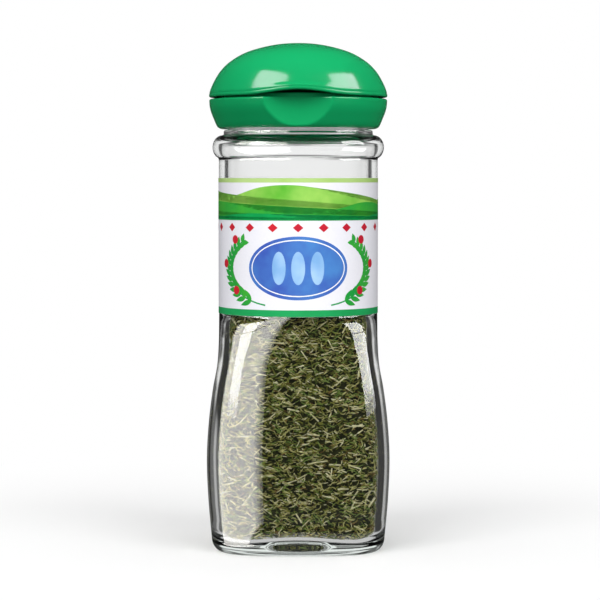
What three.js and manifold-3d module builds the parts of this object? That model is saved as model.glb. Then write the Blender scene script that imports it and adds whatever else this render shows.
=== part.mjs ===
// A glass spice jar of dried dill with a flip-top cap, in millimetres, +Z up.
// The origin is the centre of the base, on the surface that the jar stands on.
// The front, with the cap's thumb scoop, faces -Y, and the lid's hinge is at the back, at +Y.

import * as THREE from 'three';
import { mergeVertices } from 'three/addons/utils/BufferGeometryUtils.js';
import Module from 'manifold-3d';

// ---------------------------------------------------------------- driving dimensions

const SEGMENTS = 40; // facets round the axis

// Glass jar: a round upper body on a foot that is a rounded square.
const BODY_R = 17.7; // round upper body
const FOOT_HALF = 20.32; // widest half-width of the foot, face to face
const FOOT_POWER = 4; // superellipse power of the foot's plan; 2 is a circle
const CORNER_DRAW = 0.06; // radians that the facets are drawn towards the corners
const ROUND_Z = 52; // above this height the plan is round
const PLAN_POWERS = [ // the plan's power at each height
  [40, FOOT_POWER], [43, 3.7], [46, 3.2], [48, 2.95], [50, 2.55], [ROUND_Z, 2],
];
const BEARING_IN = 15.6; // the flat ring that the jar stands on
const BEARING_OUT = 17.35;
const HEEL = [1.9, 2.4]; // round under the edge of the foot, across and up
const PUNT = 2.3; // hollow under the base: a shallow ring round a deeper dish
const WALL = 1.95; // glass, from the floor's corner to the shoulder
const FLOOR_Z = 5.3; // top of the glass at the centre of the floor
const FLOOR_DROP = 2.6; // how far the floor falls from the centre to a face of the foot
const FLOOR_R = 17.3;
const FLOOR_CORNER = 2.4; // round between floor and wall
const BEAD_Z = 88.9; // round bead at the shoulder
const BEAD_CENTRE_R = 16.9;
const BEAD_OUT = 2.2;
const BEAD_HALF = 2.65;
const SHOULDER_INSIDE = [ // the hollow follows the bead: [out from the body's inside, height]
  [0, 85.8], [0.35, 87.0], [1.0, 87.6], [1.38, 88.8], [1.2, 89.5], [0, 90.05], [-1.5, 90.7],
];
const COLLAR_R = 16.6; // short stretch of neck that shows under the cap
const COLLAR_TOP = 92.7;
const NECK_R = 15.6;
const NECK_BORE = 13.6;
const SNAP_R = 16.2; // bead that holds the cap
const SNAP_Z = 95.9;
const LIP_Z = 98.7;

// Paper label, wrapped round the body with its ends meeting at the back.
const LABEL_GAP = 0.05;
const PAPER = 0.1;
const LABEL_LOW = 52.05;
const LABEL_HIGH = 82.1;
const LABEL_SEAM = 0.4;

// Dried dill, poured in to below the label's top edge.
const DILL_TOP = 70;
const DILL_MOUND = 1.6; // how much higher the middle of the heap is than its rim
const DILL_CLEAR = 0.95; // from the glass to the heap's core
const DILL_LUMP = 0.22;
const CUT_LENGTH = [2.6, 4.6]; // one cut piece of dill leaf
const CUT_R = 0.5;
const CUTS_ROUND = 150;
const CUTS_ON_TOP = 26;
const CUTS_UNDER = 12;

// Cap: a base that snaps over the neck, and the domed lid hinged to it.
const CAP_R = 19.8;
const CAP_LOW = 93.0;
const CAP_BORE = 16.5;
const SNAP_RING_R = 15.95; // ring inside the cap that catches under the neck's bead
const SNAP_RING_Z = 94.4;
const LEDGE_Z = 99.6; // top edge of the cap base, which the lid closes on
const DECK_LOW = 99.0;
const DECK_Z = 100.5;
const DECK_R = 17.0;
const SPOUT_R = 8.2; // low collar round the sifter holes
const SPOUT_WALL = 1.0;
const SPOUT_Z = 101.5;
const HOLE_R = 2.1;
const HOLE_RING_R = 4.9;
const HOLES_IN_RING = 6;
const SCOOP_Z = 99.8; // thumb scoop: an ellipsoid pressed into the front of the cap base
const SCOOP_HALF_WIDTH = 11;
const SCOOP_HALF_HEIGHT = 11.6;
const SCOOP_HALF_DEPTH = 4.8;
const SCOOP_FLOOR_Y = -17.1; // deepest point of the dish

const DOME_R = 19.85;
const DOME_Z = 100.5; // height of the dome's widest ring
const TOP_Z = 112;
const LID_WALL = 1.55;
const RIM_Z = 100.0;
const RIM_ARCH = 0.9; // the rim's lift over the thumb scoop
const ARCH_HALF = 12;
const PLUG_R = 9.6; // ring inside the lid that closes round the spout
const PLUG_WALL = 1.0;
const PLUG_LOW = 101.0;

const HINGE_Y = 19.1; // flat at the back of the cap; the hinge line lies in it
const HINGE_Z = (LEDGE_Z + RIM_Z) / 2;
const HINGE_HALF = 4.5;
const FILM = 0.35;
const FILM_HALF_Z = 0.2;
const HINGE_NOTCH = 0.2; // extra gap beside the film, above and below it

// ---------------------------------------------------------------- tools

const wasm = await Module();
wasm.setup();

// Joins a geometry's shared vertices, and drops triangles that lie on the axis with no area.
function weld(geometry) {
  geometry.deleteAttribute('normal');
  geometry.deleteAttribute('uv');
  const merged = mergeVertices(geometry, 1e-4);
  const index = merged.getIndex().array;
  const kept = [];
  for (let i = 0; i < index.length; i += 3) {
    const [a, b, c] = [index[i], index[i + 1], index[i + 2]];
    if (a !== b && b !== c && c !== a) kept.push(a, b, c);
  }
  merged.setIndex(kept);
  return merged;
}

// Turns an outline of [radius, height] pairs, listed anticlockwise, round the Z axis.
function turned(outline, segments = SEGMENTS) {
  const points = outline.map(([r, z]) => new THREE.Vector2(r, z));
  return weld(new THREE.LatheGeometry(points, segments).rotateX(Math.PI / 2));
}

// Moves each vertex of a geometry by a function of its position.
function reshape(geometry, move) {
  const position = geometry.getAttribute('position');
  const point = new THREE.Vector3();
  for (let i = 0; i < position.count; i++) {
    move(point.fromBufferAttribute(position, i));
    position.setXYZ(i, point.x, point.y, point.z);
  }
  return geometry;
}

function toSolid(geometry) {
  const welded = weld(geometry.index ? geometry : mergeVertices(geometry));
  return new wasm.Manifold(new wasm.Mesh({
    numProp: 3,
    vertProperties: new Float32Array(welded.getAttribute('position').array),
    triVerts: new Uint32Array(welded.getIndex().array),
  }));
}

function toGeometry(solid) {
  const mesh = solid.getMesh();
  const geometry = new THREE.BufferGeometry();
  geometry.setAttribute('position', new THREE.BufferAttribute(mesh.vertProperties, 3));
  geometry.setIndex(new THREE.BufferAttribute(mesh.triVerts, 1));
  return geometry;
}

function node(name, geometry, look) {
  geometry.computeVertexNormals();
  const mesh = new THREE.Mesh(geometry, new THREE.MeshStandardMaterial(look));
  mesh.name = name;
  return mesh;
}

function curve(points, steps) {
  const spline = new THREE.SplineCurve(points.map(([r, z]) => new THREE.Vector2(r, z)));
  return spline.getPoints(steps).map((p) => [p.x, p.y]);
}

// Points on an ellipse from one angle to another, in degrees.
function ellipse([r, z], [halfR, halfZ], from, to, steps) {
  return Array.from({ length: steps + 1 }, (_, i) => {
    const angle = THREE.MathUtils.degToRad(from + ((to - from) * i) / steps);
    return [r + halfR * Math.cos(angle), z + halfZ * Math.sin(angle)];
  });
}

// ---------------------------------------------------------------- the jar's plan and sections

// How far the rounded square reaches at an angle, as a share of its half-width.
function reach(angle, power) {
  return (Math.abs(Math.cos(angle)) ** power + Math.abs(Math.sin(angle)) ** power) ** (-1 / power);
}

function planPower(z) {
  const above = PLAN_POWERS.findIndex(([height]) => height >= z);
  if (above < 1) return above < 0 ? 2 : FOOT_POWER;
  const [[z0, power0], [z1, power1]] = [PLAN_POWERS[above - 1], PLAN_POWERS[above]];
  return power0 + ((power1 - power0) * (z - z0)) / (z1 - z0);
}

// Turns a round section at the point's height into the foot's rounded square. Its facets are drawn
// towards the four corners, where the plan curves most.
function squareOff(point) {
  const power = planPower(point.z);
  const turn = Math.atan2(point.y, point.x);
  const angle = turn + CORNER_DRAW * ((power - 2) / (FOOT_POWER - 2)) * Math.sin(4 * turn);
  const r = Math.hypot(point.x, point.y) * reach(angle, power);
  point.x = r * Math.cos(angle);
  point.y = r * Math.sin(angle);
}

// Half-width of the outside, face to face, from just above the heel to the round body.
const FLARE = [
  [BEARING_OUT + HEEL[0], HEEL[1]], [20.0, 11], [FOOT_HALF, 20], [19.88, 28], [19.0, 35.15],
  [18.0, 40.75], [BODY_R, 46], [BODY_R, ROUND_Z],
];
const FLARE_STEPS = 14;

function floorAt(r) {
  return FLOOR_Z - FLOOR_DROP * (r / FLOOR_R) ** 2;
}

// The inside wall's outline from the floor's corner up to the round body, less a clearance.
function insideWall(clear) {
  return curve(FLARE, FLARE_STEPS)
    .map(([half, z]) => [half - WALL - clear, z])
    .filter(([, z]) => z > FLOOR_Z + 1);
}

// The floor and its round corner, less a clearance.
function insideFloor(clear) {
  const edge = insideWall(clear)[0][0];
  const middle = edge - FLOOR_CORNER;
  const dome = [0, 0.35, 0.7].map((share) => [share * middle, floorAt(share * middle) + clear]);
  const low = floorAt(middle) + clear;
  return [...dome, ...ellipse([middle, low + FLOOR_CORNER], [FLOOR_CORNER, FLOOR_CORNER], -90, 0, 3)];
}

// The floor is one dome: in the corners of the foot it lies lower than at the middle of a face.
function settleFloor(point, clear) {
  const before = Math.hypot(point.x, point.y);
  const height = point.z - floorAt(before) - clear;
  squareOff(point);
  const hold = 1 - THREE.MathUtils.smoothstep(height, 0, 2 * FLOOR_CORNER);
  point.z += hold * (floorAt(Math.hypot(point.x, point.y)) - floorAt(before));
}

// ---------------------------------------------------------------- pieces

function glassJar() {
  const outside = [
    [0, PUNT], [3.9, 0.95 * PUNT], [5.9, 0.75 * PUNT], [7.2, 0.34 * PUNT], [8.3, 0.2 * PUNT],
    [12, 0.1 * PUNT], [BEARING_IN, 0],
    ...ellipse([BEARING_OUT, HEEL[1]], HEEL, -90, 0, 3),
    ...curve(FLARE, FLARE_STEPS).slice(1),
    [BODY_R, BEAD_Z - 2.9],
    ...ellipse([BEAD_CENTRE_R, BEAD_Z], [BEAD_OUT, BEAD_HALF], -60, 84, 6),
    [COLLAR_R, BEAD_Z + BEAD_HALF + 0.1],
    [COLLAR_R, COLLAR_TOP - 0.3], [COLLAR_R - 0.3, COLLAR_TOP], [NECK_R, COLLAR_TOP + 0.1],
    [NECK_R, SNAP_Z - 0.9], [SNAP_R, SNAP_Z - 0.3], [SNAP_R, SNAP_Z + 0.3], [NECK_R, SNAP_Z + 1.2],
    [NECK_R, LIP_Z - 0.5], [NECK_R - 0.5, LIP_Z], [0, LIP_Z],
  ];
  const inner = BODY_R - WALL;
  const inside = [
    ...insideFloor(0), ...insideWall(0),
    ...SHOULDER_INSIDE.map(([out, z]) => [inner + out, z]),
    [NECK_BORE, 92.8], [NECK_BORE, LIP_Z - 0.4], [NECK_BORE + 0.6, LIP_Z + 0.2],
    [NECK_BORE + 0.6, LIP_Z + 1], [0, LIP_Z + 1],
  ];
  const body = toSolid(reshape(turned(outside), squareOff));
  const hollow = toSolid(reshape(turned(inside), (point) => settleFloor(point, 0)));
  return node('glass_jar', toGeometry(body.subtract(hollow)),
    { color: '#dfe6e2', roughness: 0.05, metalness: 0, transparent: true, opacity: 0.35 });
}

function paperLabel() {
  const inner = BODY_R + LABEL_GAP;
  const seam = LABEL_SEAM / 2 / inner;
  const [start, end] = [Math.PI / 2 + seam, (5 * Math.PI) / 2 - seam];
  const band = new THREE.Shape();
  band.absarc(0, 0, inner + PAPER, start, end, false);
  band.absarc(0, 0, inner, end, start, true);
  const geometry = new THREE.ExtrudeGeometry(band, {
    depth: LABEL_HIGH - LABEL_LOW, bevelEnabled: false, curveSegments: 48,
  });
  return node('label', weld(geometry.translate(0, 0, LABEL_LOW)),
    { color: '#ecebf2', roughness: 0.45, metalness: 0 });
}

// A repeatable stream of numbers from 0 to 1.
function seeded(seed) {
  let state = seed;
  return () => {
    state = (state * 1664525 + 1013904223) % 4294967296;
    return state / 4294967296;
  };
}

// One cut piece of dill leaf: a tapering three-sided sliver centred on a point.
function dillCut(centre, direction, length) {
  const sliver = new THREE.ConeGeometry(CUT_R, length, 3);
  const turn = new THREE.Quaternion().setFromUnitVectors(new THREE.Vector3(0, 1, 0), direction);
  return toSolid(sliver.applyQuaternion(turn).translate(centre.x, centre.y, centre.z));
}

function dillFill() {
  const random = seeded(20417);
  const between = (low, high) => low + (high - low) * random();
  const wall = insideWall(DILL_CLEAR).filter(([, z]) => z < DILL_TOP);
  const halfAt = (z) => {
    const above = wall.findIndex(([, height]) => height >= z);
    if (above < 1) return wall[above < 0 ? wall.length - 1 : 0][0];
    const [[r0, z0], [r1, z1]] = [wall[above - 1], wall[above]];
    return r0 + ((r1 - r0) * (z - z0)) / (z1 - z0);
  };
  const topR = halfAt(DILL_TOP);
  const topAt = (r) => DILL_TOP + DILL_MOUND * (1 - (r / topR) ** 2);
  const outline = [
    ...insideFloor(DILL_CLEAR), ...wall,
    [topR, 57], [topR, 63.5],
    ...[1, 0.72, 0.42, 0.16, 0].map((share) => [share * topR, topAt(share * topR)]),
  ];
  const core = reshape(turned(outline, 32), (point) => {
    settleFloor(point, DILL_CLEAR);
    point.x += DILL_LUMP * (2 * random() - 1);
    point.y += DILL_LUMP * (2 * random() - 1);
    point.z += DILL_LUMP * (2 * random() - 1);
  });

  // A cut lies along the heap's face at a random slant, half sunk in it.
  const along = (normal) => {
    const side = new THREE.Vector3(0, 0, 1).cross(normal);
    if (side.lengthSq() < 0.01) side.set(1, 0, 0);
    return side.normalize().applyAxisAngle(normal, between(0, Math.PI));
  };
  const length = () => between(...CUT_LENGTH);
  const cuts = [];
  for (let i = 0; i < CUTS_ROUND; i++) {
    const z = between(FLOOR_Z + 2, DILL_TOP - 2);
    const angle = (2 * Math.PI * (i + random())) / CUTS_ROUND * 13;
    const at = (a, h) => {
      const r = halfAt(h) * reach(a, planPower(h));
      return new THREE.Vector3(r * Math.cos(a), r * Math.sin(a), h);
    };
    const centre = at(angle, z);
    const round = at(angle + 0.02, z).sub(centre);
    const up = at(angle, z + 0.5).sub(centre);
    cuts.push(dillCut(centre, along(round.cross(up).normalize()), length()));
  }
  const flat = (count, reachR, heightAt, tilt) => {
    for (let i = 0; i < count; i++) {
      const r = reachR * Math.sqrt((i + 0.5) / count);
      const angle = i * 2.39996;
      const centre = new THREE.Vector3(r * Math.cos(angle), r * Math.sin(angle), heightAt(r));
      const normal = new THREE.Vector3(between(-tilt, tilt), between(-tilt, tilt), 1).normalize();
      cuts.push(dillCut(centre, along(normal), length()));
    }
  };
  flat(CUTS_ON_TOP, topR - 1.6, (r) => topAt(r) + 0.15, 0.35);
  flat(CUTS_UNDER, 12.5, (r) => floorAt(r) + DILL_CLEAR - 0.1, 0.05);
  // The heap is the largest body: a cut that misses the core is left out.
  const bodies = wasm.Manifold.union([toSolid(core), ...cuts]).decompose();
  const [heap] = bodies.sort((a, b) => b.volume() - a.volume());
  return node('dill_fill', toGeometry(heap), { color: '#5b5f34', roughness: 0.85, metalness: 0 });
}

function rod(radius, low, high, sides) {
  return toSolid(turned([[0, low], [radius, low], [radius, high], [0, high]], sides));
}

function block([x, y, z], [width, depth, height]) {
  return toSolid(new THREE.BoxGeometry(width, depth, height).translate(x, y, z));
}

// What is cut off the back of the cap for the hinge: everything behind the hinge's flat.
function behindHinge() {
  return block([0, HINGE_Y + 5, HINGE_Z], [30, 10, 30]);
}

function capBase() {
  const outline = [
    [0, DECK_LOW], [CAP_BORE, DECK_LOW],
    [CAP_BORE, SNAP_RING_Z + 0.6], [SNAP_RING_R, SNAP_RING_Z + 0.2],
    [SNAP_RING_R, SNAP_RING_Z - 0.2], [CAP_BORE, SNAP_RING_Z - 0.7],
    [CAP_BORE, CAP_LOW],
    ...curve([[17.4, CAP_LOW], [17.95, 93.4], [18.4, 94.2], [18.85, 95.3], [19.4, 96.7],
      [CAP_R, LEDGE_Z - 0.6]], 6),
    ...ellipse([CAP_R - 0.5, LEDGE_Z - 0.5], [0.5, 0.5], 15, 90, 2),
    [DECK_R, LEDGE_Z], [DECK_R, DECK_Z - 0.2], [DECK_R - 0.2, DECK_Z],
    [SPOUT_R, DECK_Z], [SPOUT_R, SPOUT_Z - 0.2], [SPOUT_R - 0.2, SPOUT_Z],
    [SPOUT_R - SPOUT_WALL, SPOUT_Z], [SPOUT_R - SPOUT_WALL, DECK_Z], [0, DECK_Z],
  ];
  let cap = toSolid(turned(outline));
  const scoop = new THREE.SphereGeometry(1, 32, 22)
    .scale(SCOOP_HALF_WIDTH, SCOOP_HALF_DEPTH, SCOOP_HALF_HEIGHT)
    .translate(0, SCOOP_FLOOR_Y - SCOOP_HALF_DEPTH, SCOOP_Z);
  cap = cap.subtract(toSolid(scoop));
  for (let i = 0; i <= HOLES_IN_RING; i++) {
    const angle = (2 * Math.PI * i) / HOLES_IN_RING;
    const out = i === HOLES_IN_RING ? 0 : HOLE_RING_R;
    const hole = rod(HOLE_R, DECK_LOW - 1, DECK_Z + 1, 14);
    cap = cap.subtract(hole.translate([out * Math.cos(angle), out * Math.sin(angle), 0]));
  }
  const notch = block([0, HINGE_Y, LEDGE_Z], [2 * HINGE_HALF + 0.6, 3, 2 * HINGE_NOTCH]);
  return node('cap_base', toGeometry(cap.subtract(behindHinge()).subtract(notch)),
    { color: '#0e8a49', roughness: 0.28, metalness: 0 });
}

// Outside of the dome, from just above its widest ring to the top.
const DOME = [
  [19.6, 101.6], [18.65, 103.6], [17.3, 105.75], [15.3, 107.75], [12.1, 109.7], [8.2, 111.0],
  [4.1, 111.78], [0, TOP_Z],
];

function flipLid() {
  const [innerR, innerRise] = [DOME_R - LID_WALL, TOP_Z - DOME_Z - LID_WALL];
  const underside = (r) => DOME_Z + innerRise * Math.sqrt(1 - (r / innerR) ** 2);
  const angleAt = (r) => THREE.MathUtils.radToDeg(Math.acos(r / innerR));
  const bore = PLUG_R - PLUG_WALL;
  const outline = [
    [0, underside(0)], [0.55 * bore, underside(0.55 * bore)],
    [bore, underside(bore)], [bore, PLUG_LOW], [PLUG_R, PLUG_LOW], [PLUG_R, underside(PLUG_R)],
    ...ellipse([0, DOME_Z], [innerR, innerRise], angleAt(PLUG_R) - 6, 0, 5),
    [innerR, RIM_Z], [DOME_R - 0.3, RIM_Z], [DOME_R, DOME_Z],
    ...curve(DOME, 12),
  ];
  // Over the thumb scoop the rim rises in a low arch.
  const lid = toSolid(reshape(turned(outline), (point) => {
    const onRim = point.z < DOME_Z + 0.01 && Math.hypot(point.x, point.y) > innerR - 0.01;
    if (!onRim || point.y > 0 || Math.abs(point.x) > ARCH_HALF) return;
    point.z += RIM_ARCH * Math.cos((Math.PI * point.x) / (2 * ARCH_HALF)) ** 2;
  }));
  const notch = block([0, HINGE_Y, RIM_Z], [2 * HINGE_HALF + 0.6, 4, 2 * HINGE_NOTCH]);
  return node('flip_lid', toGeometry(lid.subtract(behindHinge()).subtract(notch)),
    { color: '#1fb06b', roughness: 0.25, metalness: 0 });
}

function livingHinge() {
  const film = new THREE.BoxGeometry(2 * HINGE_HALF, FILM, 2 * FILM_HALF_Z);
  film.translate(0, HINGE_Y - FILM / 2, HINGE_Z);
  return node('living_hinge', film, { color: '#17a05c', roughness: 0.35, metalness: 0 });
}

const spiceJar = new THREE.Group();
spiceJar.name = 'dill_spice_jar';
spiceJar.add(glassJar(), paperLabel(), dillFill(), capBase(), flipLid(), livingHinge());

export default spiceJar;
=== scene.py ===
# %% [markdown]
# # A glass spice jar of dried dill with a flip-top cap
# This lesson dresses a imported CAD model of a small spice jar. The CAD gives every piece its place and
# size, and here each piece gets its fine surface: blown glass, dry leaf, printed paper and moulded
# plastic. Everything is in metres, +Z is up, and the front of the jar looks along -Y.

# %% Load the frame
import math

import bmesh
import bpy
import numpy as np
from mathutils import Matrix, Vector


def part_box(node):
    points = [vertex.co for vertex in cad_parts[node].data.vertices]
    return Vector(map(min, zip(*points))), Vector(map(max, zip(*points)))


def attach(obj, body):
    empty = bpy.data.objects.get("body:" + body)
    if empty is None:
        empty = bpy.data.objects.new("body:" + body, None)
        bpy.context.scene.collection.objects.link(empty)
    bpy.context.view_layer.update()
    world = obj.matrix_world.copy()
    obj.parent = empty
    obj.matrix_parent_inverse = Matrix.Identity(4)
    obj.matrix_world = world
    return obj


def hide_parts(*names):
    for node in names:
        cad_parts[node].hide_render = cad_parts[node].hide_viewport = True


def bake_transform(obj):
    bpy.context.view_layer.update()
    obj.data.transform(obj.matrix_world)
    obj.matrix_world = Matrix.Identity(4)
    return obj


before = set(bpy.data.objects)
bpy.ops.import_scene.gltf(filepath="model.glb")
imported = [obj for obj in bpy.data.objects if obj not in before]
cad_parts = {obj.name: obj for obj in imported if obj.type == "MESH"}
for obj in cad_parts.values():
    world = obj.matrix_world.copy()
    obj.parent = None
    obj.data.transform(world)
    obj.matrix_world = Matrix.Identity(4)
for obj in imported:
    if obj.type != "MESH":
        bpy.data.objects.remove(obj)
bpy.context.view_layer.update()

# %% [markdown]
# ## Driving dimensions
# A dresser never measures twice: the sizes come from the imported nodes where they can, and the rest are
# the same few numbers that drive the CAD. A helper turns millimetres to metres, so that each number can
# be read as a real size.

# %% Sizes from the frame
MM = 0.001


def box_mm(node):
    low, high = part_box(node)
    return low / MM, high / MM


_, jar_high = box_mm("glass_jar")
label_low, label_high = box_mm("label")
base_low, base_high = box_mm("cap_base")
lid_low, lid_high = box_mm("flip_lid")
hinge_low, hinge_high = box_mm("living_hinge")

FOOT_HALF = jar_high.x
BODY_R = 17.7
WALL = 1.95
ROUND_Z = 52  # the height where the squared foot has become round
DECK_Z = 100.5
HINGE_Y = hinge_high.y
HINGE_Z = (hinge_low.z + hinge_high.z) / 2
LEDGE_Z = HINGE_Z - 0.2  # where the base's shell ends and the lid's rim rests
RIM_Z = lid_low.z
print("jar height", round(jar_high.z, 2), "cap top", round(lid_high.z, 2))

# %% [markdown]
# ## The camera
# A product shot of a jar is taken with a long lens, a little above the middle of the jar, so that its
# sides stay nearly upright. The camera comes first, because every later judgement is made through it.

# %% Camera
EYE = Vector((0.4, -500, 82.7)) * MM
TILT_DOWN = 3.194
LENS = 134.18


def placed(name, data):
    """Makes an object of a mesh, light or camera and puts it in the scene."""
    made = bpy.data.objects.new(name, data)
    bpy.context.scene.collection.objects.link(made)
    return made


camera_data = bpy.data.cameras.new("product camera")
camera_data.lens = LENS
camera_data.sensor_width = 36
camera = placed("product camera", camera_data)
camera.location = EYE
camera.rotation_euler = (math.radians(90 - TILT_DOWN), 0, 0)
bpy.context.scene.camera = camera

# %% [markdown]
# ## Small tools
# Colours are picked as sRGB hex, the way a paint chart gives them, and Cycles wants them linear. One
# helper adds any shader node with its settings and links, so a material reads like a recipe.

# %% Colour and node helpers
def linear(hex_colour):
    def channel(v):
        return v / 12.92 if v <= 0.04045 else ((v + 0.055) / 1.055) ** 2.4
    return tuple(channel(int(hex_colour[i:i + 2], 16) / 255) for i in (1, 3, 5)) + (1.0,)


def add(tree, kind, settings=None, **inputs):
    """Adds a node. settings are its properties; inputs are values, other nodes or their outputs."""
    made = tree.nodes.new("ShaderNode" + kind)
    for key, value in (settings or {}).items():
        setattr(made, key, value)
    for key, value in inputs.items():
        name = int(key[1:]) if key[0] == "_" else key.replace("_", " ")
        socket = made.inputs[name]
        if isinstance(value, bpy.types.Node):
            value = value.outputs[0]
        if isinstance(value, bpy.types.NodeSocket):
            tree.links.new(value, socket)
        else:
            socket.default_value = value
    return made


def new_material(name):
    material = bpy.data.materials.new(name)
    material.use_nodes = True
    material.node_tree.nodes.clear()
    return material, material.node_tree


def output(tree, **inputs):
    add(tree, "OutputMaterial", **inputs)


def cycles_per_metre(millimetres):
    """The Scale of a noise whose features are this far apart."""
    return 1 / (millimetres * MM)


def clouded(tree, dark, light, millimetres, detail, low=None, high=None):
    """Object coordinates, a soft cloud pattern of this size, and a colour that drifts with it."""
    place = add(tree, "TexCoord").outputs["Object"]
    cloud = add(tree, "TexNoise", Vector=place, Detail=detail, Scale=cycles_per_metre(millimetres))
    share = add(tree, "MapRange", Value=cloud, From_Min=low, From_Max=high) if high else cloud
    tone = add(tree, "Mix", {"data_type": "RGBA"}, _0=share, _6=linear(dark), _7=linear(light))
    return place, cloud, tone.outputs[2]


# %% Mesh helpers
def dressed(mesh, name, material, body, smooth=True):
    """Gives a mesh its material and makes it an object at the origin, on its body."""
    mesh.polygons.foreach_set("use_smooth", [smooth] * len(mesh.polygons))
    mesh.materials.append(material)
    made = placed(name, mesh)
    if body:
        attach(made, body)
    print(name, len(mesh.polygons), "faces")
    return made


def piece(bm, name, material, body, smooth=True):
    """Turns a bmesh into a dressed object."""
    mesh = bpy.data.meshes.new(name)
    bm.to_mesh(mesh)
    bm.free()
    return dressed(mesh, name, material, body, smooth)


def spun(outline, steps, closed=False):
    """Spins an outline of (radius, height) pairs in mm about Z into a closed surface."""
    bm = bmesh.new()
    verts = [bm.verts.new((0, -r * MM, z * MM)) for r, z in outline]
    edges = [bm.edges.new(pair) for pair in zip(verts, verts[1:])]
    if closed:
        edges.append(bm.edges.new((verts[-1], verts[0])))
    bmesh.ops.spin(bm, geom=verts + edges, axis=(0, 0, 1), cent=(0, 0, 0), angle=2 * math.pi,
                   steps=steps, use_merge=True)
    bmesh.ops.remove_doubles(bm, verts=bm.verts, dist=0.0005 * MM)
    bmesh.ops.dissolve_degenerate(bm, edges=bm.edges, dist=0.0001 * MM)
    bmesh.ops.recalc_face_normals(bm, faces=bm.faces)
    return bm


def verts_in(geom):
    return [g for g in geom if isinstance(g, bmesh.types.BMVert)]


def arc(centre, radii, start, end, steps):
    """Points on an ellipse from one angle to another, in degrees."""
    angles = np.radians(np.linspace(start, end, steps + 1))
    return [(centre[0] + radii[0] * math.cos(a), centre[1] + radii[1] * math.sin(a)) for a in angles]


def spline(points, steps):
    """Points on a Catmull-Rom curve through the given ones."""
    p = np.array(points, float)
    last = len(p) - 1
    out = []
    for t in np.linspace(0, last, steps + 1):
        k = min(int(t), last - 1)
        w = t - k
        p0, p1, p2, p3 = (p[min(max(k + i, 0), last)] for i in (-1, 0, 1, 2))
        v0, v1 = (p2 - p0) / 2, (p3 - p1) / 2
        out.append(tuple((2 * p1 - 2 * p2 + v0 + v1) * w**3 + (3 * p2 - 3 * p1 - 2 * v0 - v1) * w**2
                         + v0 * w + p1))
    return out


def straight(start, end, steps):
    """Points along a straight line, without its start."""
    return [tuple(np.array(start) + (np.array(end) - np.array(start)) * i / steps)
            for i in range(1, steps + 1)]


def ease(value, low, high):
    """0 below low, 1 above high, with a smooth rise between."""
    t = min(max((value - low) / (high - low), 0), 1)
    return t * t * (3 - 2 * t)


# %% [markdown]
# ## The jar's plan
# The jar is blown into a mould: round under the label, and a rounded square at the foot. Plans could be
# drawn and bridged, but one formula serves both the glass and the dill inside it: a superellipse whose
# power grows from 2, a circle, to 4 as the height falls. The jar stands on a narrow bearing ring, and
# inside it the underside rises in a dish to a push-up in the middle.

# %% Plan of the jar
BEARING_IN, BEARING_OUT, PUNT = 15.6, 17.35, 2.3
HEEL = (1.9, 2.4)
FLARE = [(BEARING_OUT + HEEL[0], HEEL[1]), (20.0, 11), (FOOT_HALF, 20), (19.88, 28), (19.0, 35.15),
         (18.0, 40.75), (BODY_R, 46), (BODY_R, ROUND_Z)]
flare_line = spline(FLARE, 84)
flare_half, flare_z = np.array(flare_line).T

FOOT_POWER = 4.0
PLAN_POWERS = [(40, FOOT_POWER), (43, 3.7), (46, 3.2), (48, 2.95), (50, 2.55), (51, 2.3), (52, 2.0),
               (54, 2.0)]
power_z, powers = np.array(spline(PLAN_POWERS, 70)).T


def plan_power(z):
    return max(float(np.interp(z, power_z, powers)), 2.0)


def reach(angle, power):
    """How much further out than a circle the superellipse lies in a direction."""
    return (abs(math.cos(angle)) ** power + abs(math.sin(angle)) ** power) ** (-1 / power)


def inside_half(z):
    """Half-width of the hollow at a height, from face to face."""
    return float(np.interp(z, flare_z, flare_half)) - WALL


FLOOR_Z, FLOOR_DROP, FLOOR_R, FLOOR_CORNER = 5.3, 2.6, 17.3, 2.4
CORNER_TOP = FLOOR_Z + 1.2
NEAR_FLOOR = 12  # above this height nothing follows the floor


def floor_at(r):
    """Height of the domed floor of the hollow, at a distance from the axis."""
    return FLOOR_Z - FLOOR_DROP * (r / FLOOR_R) ** 2


def square_off(bm, settle=None):
    """Turns round sections into the foot's plan. settle(r, z) is 1 where the floor's dome is kept."""
    for v in bm.verts:
        x, y, z = v.co / MM
        r = math.hypot(x, y)
        if r < 1e-6:
            continue
        share = reach(math.atan2(y, x), plan_power(z))
        hold = settle(r, z) if settle else 0
        v.co.x, v.co.y = x * share * MM, y * share * MM
        v.co.z += hold * (floor_at(r * share) - floor_at(r)) * MM


# %% [markdown]
# ## The glass
# Soda-lime glass is blown against the mould, so its outside is crisp and its inside is soft. It is one
# closed wall with a real thickness: only then do the edges go dark and bright as in a real jar, because
# light that enters near the edge is thrown back by the inner surface. A few steps and a Bevel modifier
# would do for a plainer jar; this wall is spun from a fine outline, because each bend in it bends the
# light. The mould stipples the dish under the base, which blurs it. Shadow rays pass the glass as if it
# weren't there, which lights the dill without the noise of focused light.

# %% Glass wall
BEAD_Z, BEAD_R, BEAD_OUT, BEAD_HALF = 88.9, 16.9, 2.2, 2.65
COLLAR_R, COLLAR_TOP = 16.6, 92.7
NECK_R, NECK_BORE, SNAP_R, SNAP_Z, LIP_Z = 15.6, 13.6, 16.2, 95.9, jar_high.z
GLASS_STEPS = 208

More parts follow.
